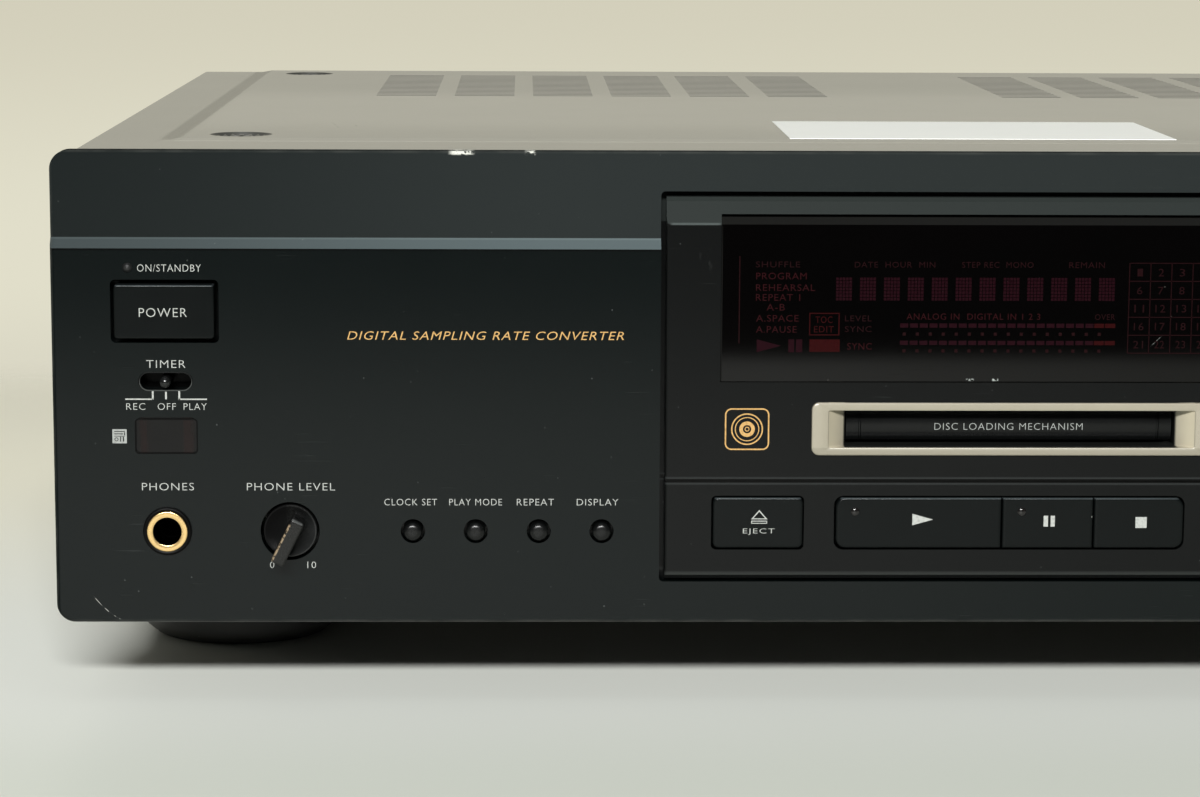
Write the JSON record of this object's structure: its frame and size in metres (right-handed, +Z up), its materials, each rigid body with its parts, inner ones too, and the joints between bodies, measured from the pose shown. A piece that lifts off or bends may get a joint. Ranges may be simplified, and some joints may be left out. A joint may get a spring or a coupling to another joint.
{
  "type": "minidisc deck",
  "caption": "Full-size hi-fi minidisc recorder deck with a slot behind a swinging door, a smoked display window, push keys, knobs and round feet.",
  "frame": {"origin": "on the resting surface, under the centre of the deck's box", "axes": "+X to the right seen from the front, +Y from front to back, +Z up"},
  "size_m": [0.43, 0.345, 0.1251],
  "materials": {
    "black_anodised": "black satin anodised, fine vertical brushing",
    "champagne_paint": "fine-textured champagne grey paint",
    "smoked_acrylic": "smoked gloss acrylic",
    "champagne_metal": "champagne satin anodised",
    "dark_plastic": "black satin moulded plastic",
    "gold_plate": "gold plated",
    "lamp_plastic": "clear red lamp",
    "paper": "matt white paper",
    "zinc_steel": "zinc plated",
    "bright_screw": "bright plated",
    "rear_paint": "black satin paint",
    "circuit_board": "green solder mask",
    "tube_glass": "dark glass",
    "capacitor_sleeve": "shrunk sleeve",
    "bare_aluminium": "extruded",
    "ribbon": "flexible ribbon"
  },
  "bodies": {
    "case": {"centre_panel": "black_anodised", "chassis": "zinc_steel", "control_boards": "circuit_board", "cover_screws": "bright_screw", "display_tube": "tube_glass", "display_window": "smoked_acrylic", "fascia": "black_anodised", "feet": "dark_plastic", "filter_capacitors": "capacitor_sleeve", "flat_cables": "ribbon", "foot_screws": "bright_screw", "front_frame": "zinc_steel", "guide_rods": "bright_screw", "heat_sink": "bare_aluminium", "ir_window": "smoked_acrylic", "jack_ring": "gold_plate", "key_switches": "dark_plastic", "main_board": "circuit_board", "mains_inlet": "dark_plastic", "mech_frame": "zinc_steel", "mech_motors": "zinc_steel", "optical_sockets": "dark_plastic", "paper_label": "paper", "phone_jack": "dark_plastic", "phono_jacks": "gold_plate", "power_board": "circuit_board", "rear_panel": "rear_paint", "rear_screws": "bright_screw", "rotary_parts": "dark_plastic", "slot_bezel": "champagne_metal", "standby_lamp": "lamp_plastic", "top_cover": "champagne_paint", "transformer": "zinc_steel"},
    "power_button": {"power_button": "dark_plastic"},
    "timer_lever": {"timer_lever": "dark_plastic"},
    "phones_level_knob": {"phones_level_knob": "dark_plastic"},
    "jog_dial": {"jog_dial": "dark_plastic"},
    "record_level_knob": {"record_level_knob": "dark_plastic"},
    "input_knob": {"input_knob": "dark_plastic"},
    "clock_button": {"clock_button": "dark_plastic"},
    "mode_button": {"mode_button": "dark_plastic"},
    "repeat_button": {"repeat_button": "dark_plastic"},
    "display_button": {"display_button": "dark_plastic"},
    "menu_button": {"menu_button": "dark_plastic"},
    "scroll_button": {"scroll_button": "dark_plastic"},
    "edit_button": {"edit_button": "dark_plastic"},
    "enter_button": {"enter_button": "dark_plastic"},
    "eject_button": {"eject_button": "dark_plastic"},
    "record_button": {"record_button": "dark_plastic"},
    "play_button": {"play_button": "dark_plastic"},
    "pause_button": {"pause_button": "dark_plastic"},
    "stop_button": {"stop_button": "dark_plastic"},
    "slot_door": {"slot_door": "dark_plastic"},
    "disc_holder": {"disc_holder": "zinc_steel"},
    "loading_slider": {"loading_slider": "zinc_steel"},
    "loading_gear": {"loading_gear": "dark_plastic"},
    "head_arm": {"head_arm": "zinc_steel"},
    "optical_sled": {"optical_sled": "dark_plastic"},
    "sled_gear": {"sled_gear": "dark_plastic"},
    "turntable": {"turntable": "dark_plastic"}
  },
  "joints": [
    {"name": "power_push", "type": "slide", "parent": "case", "child": "power_button", "axis": [0, 1, 0], "range_m": [0, 0.0026], "stiffness_N_per_m": 350},
    {"name": "timer_slide", "type": "slide", "parent": "case", "child": "timer_lever", "axis": [1, 0, 0], "range_m": [-0.003, 0.003]},
    {"name": "clock_push", "type": "slide", "parent": "case", "child": "clock_button", "axis": [0, 1, 0], "range_m": [0, 0.0006], "stiffness_N_per_m": 300},
    {"name": "mode_push", "type": "slide", "parent": "case", "child": "mode_button", "axis": [0, 1, 0], "range_m": [0, 0.0006], "stiffness_N_per_m": 300},
    {"name": "repeat_push", "type": "slide", "parent": "case", "child": "repeat_button", "axis": [0, 1, 0], "range_m": [0, 0.0006], "stiffness_N_per_m": 300},
    {"name": "display_push", "type": "slide", "parent": "case", "child": "display_button", "axis": [0, 1, 0], "range_m": [0, 0.0006], "stiffness_N_per_m": 300},
    {"name": "menu_push", "type": "slide", "parent": "case", "child": "menu_button", "axis": [0, 1, 0], "range_m": [0, 0.0006], "stiffness_N_per_m": 300},
    {"name": "scroll_push", "type": "slide", "parent": "case", "child": "scroll_button", "axis": [0, 1, 0], "range_m": [0, 0.0006], "stiffness_N_per_m": 300},
    {"name": "edit_push", "type": "slide", "parent": "case", "child": "edit_button", "axis": [0, 1, 0], "range_m": [0, 0.0006], "stiffness_N_per_m": 300},
    {"name": "enter_push", "type": "slide", "parent": "case", "child": "enter_button", "axis": [0, 1, 0], "range_m": [0, 0.0006], "stiffness_N_per_m": 300},
    {"name": "eject_push", "type": "slide", "parent": "case", "child": "eject_button", "axis": [0, 1, 0], "range_m": [0, 0.0008], "stiffness_N_per_m": 400},
    {"name": "play_push", "type": "slide", "parent": "case", "child": "play_button", "axis": [0, 1, 0], "range_m": [0, 0.0008], "stiffness_N_per_m": 400},
    {"name": "pause_push", "type": "slide", "parent": "case", "child": "pause_button", "axis": [0, 1, 0], "range_m": [0, 0.0008], "stiffness_N_per_m": 400},
    {"name": "stop_push", "type": "slide", "parent": "case", "child": "stop_button", "axis": [0, 1, 0], "range_m": [0, 0.0008], "stiffness_N_per_m": 400},
    {"name": "record_push", "type": "slide", "parent": "case", "child": "record_button", "axis": [0, 1, 0], "range_m": [0, 0.0008], "stiffness_N_per_m": 400},
    {"name": "phones_level_turn", "type": "hinge", "parent": "case", "child": "phones_level_knob", "pos_m": [-0.1623, -0.1585, 0.0395], "axis": [0, 1, 0], "range_deg": [0, 300]},
    {"name": "record_level_turn", "type": "hinge", "parent": "case", "child": "record_level_knob", "pos_m": [0.1898, -0.1585, 0.0395], "axis": [0, 1, 0], "range_deg": [0, 300]},
    {"name": "input_turn", "type": "hinge", "parent": "case", "child": "input_knob", "pos_m": [0.16, -0.1585, 0.0395], "axis": [0, 1, 0], "range_deg": [-40, 40]},
    {"name": "jog_turn", "type": "hinge", "parent": "case", "child": "jog_dial", "pos_m": [0.16, -0.1585, 0.08], "axis": [0, 1, 0], "continuous": true},
    {"name": "door_swing", "type": "hinge", "parent": "case", "child": "slot_door", "pos_m": [0, -0.1525, 0.0662], "axis": [1, 0, 0], "range_deg": [0, 90], "stiffness_Nm_per_rad": 0.001, "springref_deg": -11.46},
    {"name": "holder_lift", "type": "slide", "parent": "case", "child": "disc_holder", "axis": [0, 0, -1], "range_m": [0, 0.0048]},
    {"name": "slider_run", "type": "slide", "parent": "case", "child": "loading_slider", "axis": [0, 1, 0], "range_m": [0, 0.012]},
    {"name": "loading_gear_turn", "type": "hinge", "parent": "case", "child": "loading_gear", "pos_m": [-0.032, -0.0725, 0.046], "axis": [0, 0, 1], "range_deg": [-115, 0]},
    {"name": "arm_lower", "type": "hinge", "parent": "case", "child": "head_arm", "pos_m": [0, -0.0455, 0.06909], "axis": [1, 0, 0], "range_deg": [0, 6.4]},
    {"name": "sled_run", "type": "slide", "parent": "case", "child": "optical_sled", "axis": [0, 1, 0], "range_m": [0, 0.016]},
    {"name": "sled_gear_turn", "type": "hinge", "parent": "case", "child": "sled_gear", "pos_m": [0.028, -0.0725, 0.046], "axis": [0, 0, 1], "range_deg": [-153, 0]},
    {"name": "disc_spin", "type": "hinge", "parent": "case", "child": "turntable", "pos_m": [0, -0.0985, 0.05], "axis": [0, 0, 1], "continuous": true}
  ],
  "couplings": [
    {"joint": "slider_run", "follows": "holder_lift", "ratio": 2.5},
    {"joint": "loading_gear_turn", "follows": "holder_lift", "rad_per_m": -416.67},
    {"joint": "arm_lower", "follows": "holder_lift", "rad_per_m": 22.9},
    {"joint": "sled_gear_turn", "follows": "sled_run", "rad_per_m": -166.67}
  ]
}
